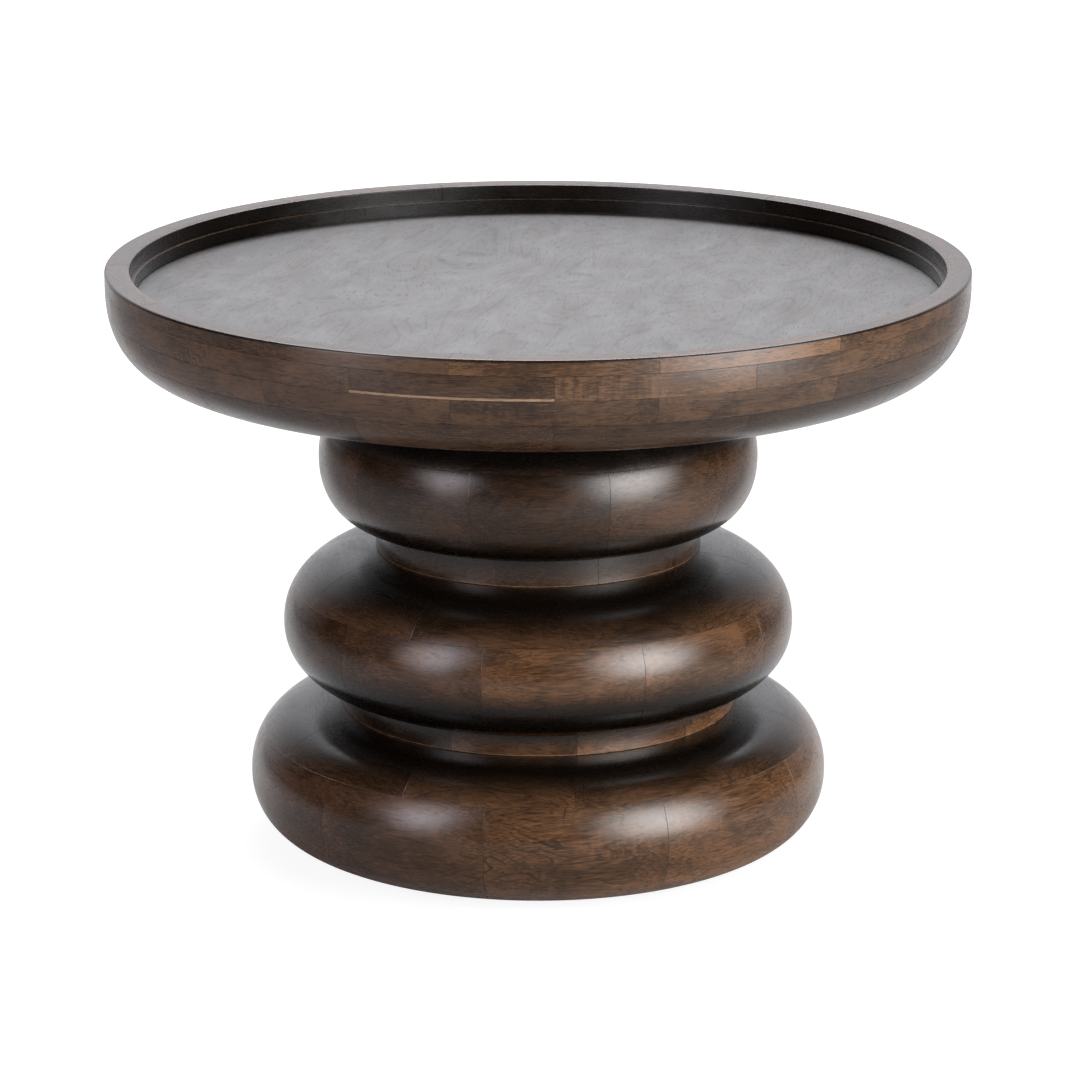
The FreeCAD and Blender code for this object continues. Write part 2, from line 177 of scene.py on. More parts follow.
def turned_block(runs, inner, step, flat):
    """One block of a course, with its middle at +X, turned to the runs of its outline.

    Returns a mesh whose faces carry the mark edge: up to 1 on worn edges, and down to -1
    where a joint is dark or shade is painted.
    """
    start = inner - SAW_OVERRUN if flat else inner
    outline = []
    for run in runs:
        for point in run:
            if not outline or math.dist(point[:2], outline[-1]) > SAME_POINT:
                outline.append(point[:2])
    section = outline
    if flat:
        section = [(start, outline[0][1])] + outline + [(start, outline[-1][1])]
    first = -math.radians(step) / 2

    block = bmesh.new()
    mark = block.faces.layers.float.new("edge")
    corners = [
        block.verts.new(
            (radius * MM * math.cos(first), radius * MM * math.sin(first), height * MM)
        )
        for radius, height in section
    ]
    block.faces.new(corners)
    bmesh.ops.spin(
        block,
        geom=block.verts[:] + block.edges[:] + block.faces[:],
        cent=(0, 0, 0),
        axis=(0, 0, 1),
        dvec=(0, 0, 0),
        angle=math.radians(step),
        steps=TURNS_PER_BLOCK,
        use_merge=False,
        use_duplicate=False,
    )
    if flat:
        bmesh.ops.bisect_plane(
            block,
            geom=block.verts[:] + block.edges[:] + block.faces[:],
            dist=CUT_TOLERANCE,
            plane_co=(inner * MM, 0, 0),
            plane_no=(1, 0, 0),
            clear_inner=True,
        )
        rims = [edge for edge in block.edges if edge.is_boundary]
        bmesh.ops.holes_fill(block, edges=rims, sides=0)
    bmesh.ops.recalc_face_normals(block, faces=block.faces[:])

    near = np.array(outline)
    on_outline = {}
    for vert in block.verts:
        place = (math.hypot(vert.co.x, vert.co.y) / MM, vert.co.z / MM)
        on_outline[vert] = np.abs(near - place).max(axis=1).min() < ON_OUTLINE
    sharp = [
        edge
        for edge in block.edges
        if len(edge.link_faces) == 2
        and all(on_outline[vert] for vert in edge.verts)
        and edge.calc_face_angle() > math.radians(SHARP_CORNER)
    ]
    made = bmesh.ops.bevel(
        block,
        geom=sharp,
        offset=JOINT_EASE * MM,
        offset_type="OFFSET",
        segments=1,
        profile=0.5,
        affect="EDGES",
        clamp_overlap=True,
        material=-1,
    )
    for face in made["faces"]:
        face[mark] = JOINT_MARK
    return block, mark


def block_normals(mesh, runs):
    """Normals of the turned surface at every corner of a block's mesh.

    They come from the outline itself, so neighbouring blocks shade as one surface.
    """
    pieces = []
    for run in runs:
        for before, after in zip(run, run[1:]):
            if math.dist(before[:2], after[:2]) > SAME_POINT:
                pieces.append((*before, *after))
    pieces = np.array(pieces)
    starts, ends = pieces[:, 0:2] * MM, pieces[:, 4:6] * MM
    spans = ends - starts
    lengths = (spans**2).sum(axis=1)
    normals = np.zeros((len(mesh.loops), 3))
    for face in mesh.polygons:
        centre = face.center
        place = np.array((math.hypot(centre.x, centre.y), centre.z))
        shares = np.clip(((place - starts) * spans).sum(axis=1) / lengths, 0, 1)
        gaps = ((starts + spans * shares[:, None] - place) ** 2).sum(axis=1)
        piece = int(gaps.argmin())
        turned = pieces[piece, 2:4] + pieces[piece, 6:8]
        turned = turned / np.linalg.norm(turned)
        out = Vector((centre.x, centre.y, 0)).normalized() * float(turned[0])
        expected = out + Vector((0, 0, float(turned[1])))
        follows = expected.dot(face.normal) > FOLLOWS_OUTLINE
        for loop in face.loop_indices:
            if not follows:
                normals[loop] = face.normal
                continue
            spot = mesh.vertices[mesh.loops[loop].vertex_index].co
            reach = math.hypot(spot.x, spot.y)
            along = np.array((reach, spot.z)) - starts[piece]
            share = float(np.clip(along @ spans[piece] / lengths[piece], 0, 1))
            blend = pieces[piece, 2:4] * (1 - share) + pieces[piece, 6:8] * share
            blend = blend / np.linalg.norm(blend)
            normals[loop] = (
                blend[0] * spot.x / reach,
                blend[0] * spot.y / reach,
                blend[1],
            )
    return normals


def eased_share(levels, start, end):
    """How far each level is from the start to the end, 0 to 1, eased at both."""
    share = np.clip((levels - start) / (end - start), 0, 1)
    return share * share * (3 - 2 * share)


def course(
    name, node, slot, finish, runs, inner, blocks, joint,
    flat=True, worn=(), rubbed=(), hollows=(), scuffs=(), depth=1.0, shades=(), ripples=(),
):
    """A circle of equal blocks, from the azimuth of its first joint.

    inner is the distance to the blocks' flat inner faces, or the radius of a round one.
    worn lists the spots of the outline, (radius, height, reach, strength) in mm, whose
    edges are rubbed pale, or take painted shade where the strength is negative. rubbed gives
    the level below which the faces of a single block are rubbed pale.
    hollows lists stretches, (proud level, deep level) in mm, over which painted shade
    darkens the stain, most at the deep level.
    scuffs lists stretches, (from level, to level, share), over which painted light
    from the floor makes the stain paler, most at the second level.
    depth is how pale the course is, 1 being the plain stain, and shades gives it for
    single blocks, counted from the first joint. Besides the wood's own tone, these carry
    the painted light and shade that the calls note. ripples gives how rippled a block is.
    """
    step = 360.0 / blocks
    block, mark = turned_block(runs, inner, step, flat)
    for face in block.faces:
        centre = face.calc_center_median()
        place = (math.hypot(centre.x, centre.y) / MM, centre.z / MM)
        for radius, height, reach, strength in worn:
            if math.dist(place, (radius, height)) < reach:
                face[mark] = strength
    pattern = bpy.data.meshes.new(name + "_block")
    block.to_mesh(pattern)
    block.free()
    normals = block_normals(pattern, runs)
    places = np.array([vert.co for vert in pattern.vertices])

    levels = places[:, 2] / MM
    # Painted shade, darkest where this reaches 1: in the hollows listed, and on a recess's wall
    painted_shade = np.zeros(len(places))
    for proud, deep in hollows:
        painted_shade = np.maximum(painted_shade, eased_share(levels, proud, deep))
    if not flat:
        reach = np.hypot(places[:, 0], places[:, 1]) / MM
        painted_shade[reach < inner + SHADED_WALL_DEPTH] = 1.0
    # Painted light from the floor's bounce, which makes the stain paler over the stretches listed
    bounce_lift = np.ones(len(places))
    for start, end, gain in scuffs:
        bounce_lift += gain * eased_share(levels, start, end)

    dice = random.Random(name)
    whole = bmesh.new()
    grain, tone, ripple, turned = [], [], [], []
    chosen, rippled = dict(shades), dict(ripples)
    for index in range(blocks):
        before = len(whole.verts)
        whole.from_mesh(pattern)
        whole.verts.ensure_lookup_table()
        azimuth = math.radians(joint + (index + 0.5) * step - 90.0)
        turn = Matrix.Rotation(azimuth, 3, "Z")
        bmesh.ops.rotate(whole, verts=whole.verts[before:], cent=(0, 0, 0), matrix=turn)
        turned.append(normals @ np.array(turn.transposed()))

        tilt = math.radians(dice.uniform(-GRAIN_TILT, GRAIN_TILT))
        growth = math.radians(dice.uniform(0, 180))
        slip = np.array([dice.uniform(-GRAIN_SLIP, GRAIN_SLIP) for _ in range(3)])
        shade = min(max(dice.gauss(1.0, SHADE_SPREAD), SHADE_LEAST), SHADE_MOST)
        lie = Matrix.Rotation(growth, 3, "X") @ Matrix.Rotation(tilt, 3, "Y")
        along = places[:, [1, 0, 2]]
        grain.append(along @ np.array(lie.transposed()) + slip)
        tone.append(bounce_lift * chosen.get(index, depth * shade))
        ripple.append(np.full(len(places), rippled.get(index, PLAIN_RIPPLE)))
    mesh = bpy.data.meshes.new(name)
    whole.to_mesh(mesh)
    whole.free()
    faces = len(pattern.polygons)
    marks = mesh.attributes["edge"].data
    for index, height in dict(rubbed).items():
        for face in mesh.polygons[index * faces : (index + 1) * faces]:
            if face.center.z / MM < height and math.hypot(*face.normal.xy) > UPRIGHT:
                marks[face.index].value = RUBBED_MARK
    bpy.data.meshes.remove(pattern)
    carry(mesh, "grain", "FLOAT_VECTOR", np.concatenate(grain))
    carry(mesh, "tone", "FLOAT", np.concatenate(tone))
    carry(mesh, "ripple", "FLOAT", np.concatenate(ripple))
    carry(mesh, "painted_shade", "FLOAT", np.tile(painted_shade, blocks))
    mesh.shade_smooth()
    mesh.normals_split_custom_set(np.concatenate(turned).tolist())
    placed(name, mesh, slot, finish, node)


def carry(mesh, name, kind, values):
    """Give every point of a mesh a value that its material reads."""
    attribute = mesh.attributes.new(name, kind, "POINT")
    field = "vector" if kind == "FLOAT_VECTOR" else "value"
    attribute.data.foreach_set(field, np.asarray(values, np.float32).ravel())


def placed(name, mesh, slot, finish, *nodes):
    """Make the object, and let it stand for the CAD nodes."""
    piece = bpy.data.objects.new(name, mesh)
    bpy.context.scene.collection.objects.link(piece)
    mesh.materials.append(finish)
    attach(piece, ROOT)
    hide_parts(*nodes)


# Materials

def linear(colour):
    """An sRGB hex colour as the linear values that a shader takes."""
    parts = [int(colour[i : i + 2], 16) / 255 for i in (1, 3, 5)]
    parts = [p / 12.92 if p <= 0.04045 else ((p + 0.055) / 1.055) ** 2.4 for p in parts]
    return (*parts, 1.0)


def empty_tree(owner):
    """The node tree of a material, lamp or world, with nothing in it yet."""
    owner.use_nodes = True
    owner.node_tree.nodes.clear()
    return owner.node_tree


def add(tree, kind, settings, sockets):
    """Add a node with its settings. A socket takes a value or another node's output."""
    node = tree.nodes.new(kind)
    for name, value in settings.items():
        setattr(node, name, value)
    for name, value in sockets.items():
        if isinstance(value, bpy.types.NodeSocket):
            tree.links.new(value, node.inputs[name])
        else:
            node.inputs[name].default_value = value
    return node


HOLLOW_SHEEN = 0.26          # roughness of the rings' lacquer, which every wood also takes where shade is painted


def stained_wood(
    name, dark, pale, sheen, film, film_sheen, arcs=0.2,
    figure=1.0, flame=1.0, knots=(), own_grain=True,
):
    """Close-grained fruitwood, stained dark brown and sprayed with satin lacquer.

    The stain takes unevenly: cloudy growth bands along the board, thin growth rings that
    close in arcs, short dark pores and a ripple across the grain. The lacquer gives wide
    soft highlights, with a thin smoother film on top.
    sheen is the lacquer's roughness, film the weight of the film and film_sheen its own.
    arcs is how dark the growth rings are, figure how much the sheen and the relief follow
    the grain, and flame how large its arcs are, 1 being those of a narrow block.
    own_grain reads each block's own grain direction, in metres along, into and up it.
    knots lists (across, along, reach across, reach along) in mm, which the grain runs round.
    """
    made = bpy.data.materials.new(name)
    tree = empty_tree(made)

    def maths(operation, first, second=0.0, third=0.0):
        found = add(
            tree,
            "ShaderNodeMath",
            {"operation": operation},
            {0: first, 1: second, 2: third},
        )
        return found.outputs[0]

    def ranged(value, low, high, bottom=0.0, top=1.0):
        found = add(
            tree,
            "ShaderNodeMapRange",
            {"interpolation_type": "SMOOTHSTEP"},
            {"Value": value, "From Min": low, "From Max": high, "To Min": bottom, "To Max": top},
        )
        return found.outputs["Result"]

    def mixed(share, first, second, blend="MIX"):
        found = add(
            tree,
            "ShaderNodeMix",
            {"data_type": "RGBA", "blend_type": blend},
            {0: share, 6: first, 7: second},
        )
        return found.outputs[2]

    if own_grain:
        place = add(tree, "ShaderNodeAttribute", {"attribute_name": "grain"}, {})
        place = place.outputs["Vector"]
        carried = {}
        for value in ("tone", "edge", "painted_shade", "ripple"):
            read = add(tree, "ShaderNodeAttribute", {"attribute_name": value}, {})
            carried[value] = read.outputs["Fac"]
    else:
        place = add(tree, "ShaderNodeTexCoord", {}, {}).outputs["Object"]

    hearts = 0.0
    if knots:
        parts = add(tree, "ShaderNodeSeparateXYZ", {}, {0: place})
        bent = parts.outputs["Y"]
        for across, along, reach_across, reach_along in knots:
            aside = maths("SUBTRACT", parts.outputs["Y"], across * MM)
            ahead = maths("SUBTRACT", parts.outputs["X"], along * MM)
            near = maths("POWER", maths("DIVIDE", aside, reach_across * MM), 2.0)
            far = maths("POWER", maths("DIVIDE", ahead, reach_along * MM), 2.0)
            near = maths("ADD", near, far)
            bell = maths("EXPONENT", maths("MULTIPLY", near, -1.0))
            pull = maths("MULTIPLY", maths("MULTIPLY", bell, 0.85), aside)
            bent = maths("SUBTRACT", bent, pull)
            distance = maths("MULTIPLY", near, reach_across * reach_along)
            hearts = maths("MAXIMUM", hearts, ranged(distance, 36.0, 6.0))
        place = add(
            tree,
            "ShaderNodeCombineXYZ",
            {},
            {0: parts.outputs["X"], 1: bent, 2: parts.outputs["Z"]},
        ).outputs[0]

    def grainy(along, across, detail, roughness, distortion):
        """Noise in patches that long and wide, in mm."""
        scale = (1 / (along * MM), 1 / (across * MM), 1 / (across * MM))
        mapping = add(tree, "ShaderNodeMapping", {}, {"Vector": place, "Scale": scale})
        texture = add(
            tree,
            "ShaderNodeTexNoise",
            {},
            {
                "Vector": mapping.outputs["Vector"],
                "Scale": 1.0,
                "Detail": detail,
                "Roughness": roughness,
                "Distortion": distortion,
            },
        )
        return texture.outputs["Fac"]

    # Growth bands of a slow tree, and the arcs where the saw cut its rings
    bands = grainy(170, 20, 1.0, 0.5, 0.5)
    flames = grainy(85 * flame, 22 * flame, 0.0, 0.5, 0.5)
    # Bundles of fibres, and clouds where the stain took unevenly
    fibres = grainy(22, 1.1, 3.0, 0.75, 0.0)
    clouds = grainy(48, 26, 3.0, 0.6, 0.4)
    # Pores are 0.25 mm wide and 2 mm long, too fine to show, and are drawn four times as coarse
    pores = grainy(8 * flame**0.5, 1.0 * flame**0.5, 1.0, 0.5, 0.0)
    # Ripple across the grain, and the places that have it
    ripple = grainy(4, 26, 1.0, 0.5, 0.3)
    rippled = grainy(70, 30, 1.0, 0.5, 0.0)

    rings = maths("PINGPONG", maths("MULTIPLY", flames, 15.0 / flame**0.5), 0.5)
    ring_lines = maths("MULTIPLY", ranged(rings, 0.13, 0.02), ranged(clouds, 0.4, 0.54))
    open_pores = ranged(pores, 0.58, 0.7)
    rippled = ranged(rippled, 0.46, 0.62)
    if own_grain:
        rippled = maths("MULTIPLY", rippled, carried["ripple"])
        ring_lines = maths("MULTIPLY", ring_lines, maths("ADD", carried["ripple"], 0.5))
    waves = maths("MULTIPLY", rippled, maths("SUBTRACT", ripple, 0.5))

    # How pale the stain is, and the weight of each pattern in it
    light = 0.5
    for pattern, weight in ((bands, 0.8), (fibres, 2.0), (clouds, 1.3)):
        light = maths("MULTIPLY_ADD", maths("SUBTRACT", pattern, 0.5), weight, light)
    for pattern, weight in ((waves, 0.8), (ring_lines, -arcs)):
        light = maths("MULTIPLY_ADD", pattern, weight, light)
    light = ranged(light, 0.0, 1.0)

    stain = mixed(light, linear(dark), linear(pale))
    if own_grain:
        stain = mixed(1.0, stain, carried["tone"], "MULTIPLY")
    pore_dark = linear("#140c08")
    stain = mixed(maths("MULTIPLY", open_pores, 0.65 / figure), stain, pore_dark)
    if knots:
        stain = mixed(maths("MULTIPLY", hearts, 0.7), stain, pore_dark)
    if own_grain:
        # Painted shade: near black in the hollows and on the recess walls
        stain = mixed(maths("MULTIPLY", carried["painted_shade"], 0.985), stain, linear("#0a0603"))
        worn = maths("MAXIMUM", carried["edge"], 0.0)
        worn = maths("MULTIPLY", worn, ranged(fibres, 0.3, 0.6, 0.45, 0.9))
        stain = mixed(worn, stain, linear("#a5886c"))
        # Dark glue joints, and painted shade in the rim's outer edge
        joint = maths("MULTIPLY", ranged(carried["edge"], -0.5, -1.0), 0.8)
        stain = mixed(joint, stain, linear("#1d120c"))

    # How rough the lacquer is, and the weight of each pattern in it
    gloss = sheen
    for pattern, weight in ((fibres, 0.2), (clouds, 0.25)):
        swing = maths("SUBTRACT", pattern, 0.5)
        gloss = maths("MULTIPLY_ADD", swing, weight * figure, gloss)
    for pattern, weight in ((ring_lines, 0.03), (open_pores, 0.08)):
        gloss = maths("MULTIPLY_ADD", pattern, weight * figure, gloss)
    relief = maths("MULTIPLY_ADD", open_pores, -0.8, maths("MULTIPLY", fibres, 0.5))
    if own_grain:
        gloss = maths("MULTIPLY_ADD", carried["painted_shade"], HOLLOW_SHEEN - sheen, gloss)
        relief = maths("MULTIPLY", relief, maths("SUBTRACT", 1.0, carried["painted_shade"]))
    bump = add(
        tree,
        "ShaderNodeBump",
        {},
        {"Height": relief, "Strength": 0.2 * figure, "Distance": 0.1 * MM},
    )
    surface = add(
        tree,
        "ShaderNodeBsdfPrincipled",
        {},
        {
            "Base Color": stain,
            "Roughness": gloss,
            "IOR": 1.5,
            "Normal": bump.outputs["Normal"],
            "Coat Weight": film,
            "Coat Roughness": film_sheen,
            "Coat IOR": 1.5,
        },
    )
    add(tree, "ShaderNodeOutputMaterial", {}, {"Surface": surface.outputs["BSDF"]})
    return made


# Mango wood in walnut stain, turned, sanded fine and sprayed: even, with a soft satin shine
RING_WOOD = stained_wood(
    "stained_mango_rings_satin_lacquer",
    dark="#352417",
    pale="#68482f",
    sheen=HOLLOW_SHEEN,
    film=0.15,
    film_sheen=0.16,
    arcs=0.4,
)
# The same on the tray's narrow courses, whose growth rings hardly show
TRAY_WOOD = stained_wood(
    "stained_mango_tray_satin_lacquer",
    dark="#382619",
    pale="#694c34",
    sheen=0.28,
    film=0.15,
    film_sheen=0.16,
    arcs=0.14,
)
# Wide flat boards, whose large arcs run round knots, under a duller sprayed coat that
# turns pale where it mirrors the room at a low angle
PANEL_KNOTS = [
    (-90, 75, 60, 55),
    (-110, -45, 50, 45),
    (-150, -70, 18, 14),
    (5, 52, 24, 16),
    (45, -2, 22, 14),
    (35, -72, 16, 12),
]
PANEL_WOOD = stained_wood(
    "stained_mango_panel_satin_lacquer",
    dark="#100c0b",
    pale="#48392f",
    sheen=0.58,
    film=0.7,
    film_sheen=0.52,
    arcs=0.6,
    figure=2.2,
    flame=2.2,
    knots=PANEL_KNOTS,
)
# What doesn't show is wiped with one coat of stain and left dull
INNER_WOOD = stained_wood(
    "stained_mango_inside_one_coat",
    dark="#23170f",
    pale="#3a281c",
    sheen=0.6,
    film=0.0,
    film_sheen=0.3,
    own_grain=False,
)


TUFT = 1.2                  # mm, width of the felt's tufts
SPANGLE = 2.5               # mm, width of the plating's spangle


def felt(name, dark, pale):
    """Pressed wool felt: matt, with short fibres lying every way and a faint fuzz."""
    made = bpy.data.materials.new(name)
    tree = empty_tree(made)
    place = add(tree, "ShaderNodeTexCoord", {}, {}).outputs["Object"]
    tufts = add(
        tree,
        "ShaderNodeTexNoise",
        {},
        {"Vector": place, "Scale": 1 / (TUFT * MM), "Detail": 4.0},
    )
    colour = add(
        tree,
        "ShaderNodeMix",
        {"data_type": "RGBA"},
        {0: tufts.outputs["Fac"], 6: linear(dark), 7: linear(pale)},
    )
    bump = add(
        tree,
        "ShaderNodeBump",
        {},
        {"Height": tufts.outputs["Fac"], "Strength": 0.8, "Distance": 0.3 * MM},
    )
    surface = add(
        tree,
        "ShaderNodeBsdfPrincipled",
        {},
        {
            "Base Color": colour.outputs[2],
            "Roughness": 0.95,
            "Normal": bump.outputs["Normal"],
            "Sheen Weight": 0.3,
            "Sheen Roughness": 0.5,
        },
    )
    add(tree, "ShaderNodeOutputMaterial", {}, {"Surface": surface.outputs["BSDF"]})
    return made


def plated_steel(name, colour):
    """Zinc-plated steel: bright, with the fine dull spangle of barrel plating."""
    made = bpy.data.materials.new(name)
    tree = empty_tree(made)
    place = add(tree, "ShaderNodeTexCoord", {}, {}).outputs["Object"]
    spangle = add(
        tree,
        "ShaderNodeTexNoise",
        {},
        {"Vector": place, "Scale": 1 / (SPANGLE * MM), "Detail": 3.0},
    )
    dulled = add(
        tree,
        "ShaderNodeMapRange",
        {},
        {"Value": spangle.outputs["Fac"], "To Min": 0.22, "To Max": 0.42},
    )
    surface = add(
        tree,
        "ShaderNodeBsdfPrincipled",
        {},
        {"Base Color": linear(colour), "Metallic": 1.0, "Roughness": dulled.outputs[0]},
    )
    add(tree, "ShaderNodeOutputMaterial", {}, {"Surface": surface.outputs["BSDF"]})
    return made


PAD_FELT = felt("dark_wool_felt", "#2b2826", "#4a4643")
SCREW_STEEL = plated_steel("zinc_plated_steel", "#c3c5c8")


def ring_course(name, node, runs, inner, joint, **details):
    """A course of the pedestal."""
    course(name, node, "ring_wood", RING_WOOD, runs, inner, RING_BLOCKS, joint, **details)


def tray_course(name, node, runs, inner, joint, **details):
    """A course of the tray."""
    course(name, node, "tray_wood", TRAY_WOOD, runs, inner, TRAY_BLOCKS, joint, **details)


# The pedestal, from the floor up

base_toe = swell(BASE_RADIUS, BASE_GIRTH, run=48, end_level=PAD_TOP)
base_shoulder = swell(BASE_RADIUS, BASE_GIRTH, run=60, end_level=BASE_TOP)
base_upper = base_shoulder(BASE_GIRTH, BASE_SEAM, steps=16)
# Painted shade on the base's shoulder, deepening up to the lower collar
base_hollow = (76, 103)
ring_course(
    "base_ring_main_blocks",
    "base_ring_main_course",
    [base_toe(PAD_TOP, BASE_GIRTH, steps=26), base_upper],
    BASE_INNER,
    BASE_JOINT,
    worn=[(*base_upper[-1][:2], *SEAM_WEAR)],
    hollows=[base_hollow],
    # Painted light from the floor: the toe paler towards the floor
    scuffs=[(40, 8, 0.7)],
    # Block tones, partly the wood's own and partly painted light: paler to the front right,
    # towards the brighter lamp, darker to the left
    shades={7: 0.8, 8: 0.8, 9: 0.9, 0: 1.15, 1: 1.25, 2: 1.15},
    ripples={0: 1.3, 9: 0.8},
)
ring_course(
    "base_ring_top_blocks",
    "base_ring_top_course",
    [base_shoulder(BASE_SEAM, BASE_TOP, steps=16)],
    BASE_INNER,
    BASE_JOINT + RING_STEP / 2,
    hollows=[base_hollow],
)
ring_course(
    "lower_collar_blocks",
    "lower_collar",
    [
        eased_corner(LOWER_COLLAR_RADIUS, BASE_TOP, ARRIS, -90, 0),
        flat_run(
            (LOWER_COLLAR_RADIUS, BASE_TOP + ARRIS),
            (LOWER_COLLAR_RADIUS, LOWER_COLLAR_TOP),
        ),
    ],
    BASE_INNER,
    LOWER_COLLAR_JOINT,
    worn=[(LOWER_COLLAR_RADIUS, BASE_TOP, *COLLAR_WEAR)],
    # Painted shade, deepening up the collar towards the middle ring
    hollows=[(114, LOWER_COLLAR_TOP)],
    # Block tones, partly the wood's own and partly painted light: paler to the front right,
    # towards the brighter lamp, darker to the left
    shades={7: 0.5, 8: 0.4, 9: 1.2, 0: 1.8, 1: 2.3, 2: 1.5},
)
middle_toe = swell(MIDDLE_RADIUS, MIDDLE_GIRTH, run=44, end_level=LOWER_COLLAR_TOP, tuck=18.5)
middle_shoulder = swell(MIDDLE_RADIUS, MIDDLE_GIRTH, run=72, end_level=MIDDLE_TOP, tuck=5)
middle_upper = middle_shoulder(MIDDLE_GIRTH, MIDDLE_SEAM, steps=14)
# Painted shade under the middle ring's girth, and on its shoulder below the upper collar
middle_underside, middle_hollow = (173, 151), (192, 222)
ring_course(
    "middle_ring_main_blocks",
    "middle_ring_main_course",
    [middle_toe(LOWER_COLLAR_TOP, MIDDLE_GIRTH, steps=24), middle_upper],
    MIDDLE_INNER,
    MIDDLE_JOINT,
    worn=[(*middle_upper[-1][:2], *SEAM_WEAR)],
    hollows=[middle_underside, middle_hollow],
    # Block tones, partly the wood's own and partly painted light: paler to the front right,
    # towards the brighter lamp, darker to the left
    shades={7: 0.7, 8: 0.62, 9: 0.9, 0: 1.15, 1: 1.2, 2: 0.85},
)
ring_course(
    "middle_ring_top_blocks",
    "middle_ring_top_course",
    [middle_shoulder(MIDDLE_SEAM, MIDDLE_TOP, steps=22)],
    MIDDLE_INNER,
    MIDDLE_JOINT + RING_STEP / 2,
    hollows=[middle_hollow],
)
ring_course(
    "upper_collar_blocks",
    "upper_collar",
    [
        eased_corner(UPPER_COLLAR_RADIUS, MIDDLE_TOP, ARRIS, -90, 0),
        flat_run(
            (UPPER_COLLAR_RADIUS, MIDDLE_TOP + ARRIS),
            (UPPER_COLLAR_RADIUS, UPPER_COLLAR_TOP),
        ),
    ],
    MIDDLE_INNER,
    UPPER_COLLAR_JOINT,
    worn=[(UPPER_COLLAR_RADIUS, MIDDLE_TOP, *COLLAR_WEAR)],
    # Painted shade: the collar darker all over, and darkest up towards the upper ring
    hollows=[(240, UPPER_COLLAR_TOP)],
    depth=0.5,
)
upper_toe = swell(UPPER_RADIUS, UPPER_GIRTH, run=39.5, end_level=UPPER_COLLAR_TOP)
upper_shoulder = swell(UPPER_RADIUS, UPPER_GIRTH, run=43, end_level=UPPER_TOP)
# Painted shade under the upper ring's girth, and on its shoulder below the tray
upper_underside, upper_hollow = (290, 258), (316, 334)
ring_course(
    "upper_ring_main_blocks",
    "upper_ring_main_course",
    [
        upper_toe(UPPER_COLLAR_TOP, UPPER_GIRTH, steps=26),
        upper_shoulder(UPPER_GIRTH, UPPER_SEAM, steps=12),
    ],
    UPPER_INNER,
    UPPER_JOINT,
    hollows=[upper_underside, upper_hollow],
    # Front blocks darker: partly the wood's own tone, partly painted shade under the tray
    shades={8: 0.7, 9: 0.55, 0: 0.4, 1: 0.7, 2: 0.7},
)
ring_course(
    "upper_ring_top_blocks",
    "upper_ring_top_course",
    [upper_shoulder(UPPER_SEAM, UPPER_TOP, steps=18)],
    UPPER_INNER,
    UPPER_JOINT + RING_STEP / 2,
    hollows=[upper_hollow],
    # A little darker: painted shade under the tray
    depth=0.9,
)

# The tray

bowl = swell(TRAY_RADIUS, BOWL_END, run=65, end_level=TRAY_FOOT, fullness=BOWL_FULLNESS)
# The courses darken towards the foot of the bowl, where it turns under: partly the wood's own
# tone, partly painted shade
tray_course(
    "tray_bottom_blocks",
    "tray_bottom_course",
    [bowl(TRAY_FOOT, TRAY_LOW_SEAM, steps=26)],
    TRAY_INNER,
    TRAY_JOINT,
    depth=0.65,
    shades={13: 0.75, 0: 0.5, 1: 0.3, 2: 0.3, 3: 0.4},
)
tray_course(
    "tray_third_blocks",
    "tray_third_course",
    [bowl(TRAY_LOW_SEAM, TRAY_MIDDLE_SEAM, steps=10)],
    RECESS_RADIUS,
    TRAY_JOINT + TRAY_STEP / 2,
    depth=0.75,
    shades={13: 0.68, 0: 0.72, 1: 0.46, 2: 0.42, 3: 0.5},
    ripples={13: 0.8, 0: 1.3, 1: 0.9},
)
tray_course(
    "tray_second_blocks",
    "tray_second_course",
    [
        bowl(TRAY_MIDDLE_SEAM, TRAY_HIGH_SEAM, steps=8),
        flat_run((LEDGE_OUTER, TRAY_HIGH_SEAM), (LEDGE_BROW, TRAY_HIGH_SEAM)),
        eased_corner(RECESS_RADIUS, TRAY_HIGH_SEAM, LEDGE_EASE, 90, 180, steps=2),
        flat_run(
            (RECESS_RADIUS, TRAY_HIGH_SEAM - LEDGE_EASE),
            (RECESS_RADIUS, TRAY_MIDDLE_SEAM),
        ),
    ],
    RECESS_RADIUS,
    TRAY_JOINT,
    flat=False,
    worn=[(RECESS_RADIUS, TRAY_HIGH_SEAM, *LEDGE_WEAR)],
    depth=0.9,
    rubbed={13: 425.2},
    shades={12: 0.85, 13: 0.68, 0: 1.1, 1: 0.8, 2: 0.6, 3: 0.7},
    ripples={0: 1.4, 1: 1.2, 2: 0.8},
)
rim_crown = eased_corner(RIM_BREAK, TRAY_TOP, RIM_BREAK_EASE, 90, RIM_FALL)
rim_lip = eased_corner(RIM_INNER_RADIUS, RIM_LIP, ARRIS, RIM_FALL, 180, steps=6)
tray_course(
    "tray_rim_blocks",
    "tray_rim_course",
    [
        bowl(TRAY_HIGH_SEAM, BOWL_END, steps=2),
        flat_run((TRAY_RADIUS, BOWL_END), (TRAY_RADIUS, TRAY_TOP - RIM_EASE)),
        eased_corner(TRAY_RADIUS, TRAY_TOP, RIM_EASE, 0, 90, steps=6),
        flat_run((TRAY_RADIUS - RIM_EASE, TRAY_TOP), rim_crown[0][:2]),
        rim_crown,
        flat_run(rim_crown[-1][:2], rim_lip[0][:2]),
        rim_lip,
        flat_run(rim_lip[-1][:2], (RIM_INNER_RADIUS, TRAY_HIGH_SEAM)),
    ],
    RIM_INNER_RADIUS,
    TRAY_JOINT + TRAY_STEP / 2,
    flat=False,
    # Painted shade in the rim's rounded outer edge
    worn=[(*RIM_EDGE_SHADE, PAINTED_SHADE_MARK)],
    shades={12: 0.8, 13: 1.1, 0: 1.35, 1: 0.8, 2: 0.7},
)


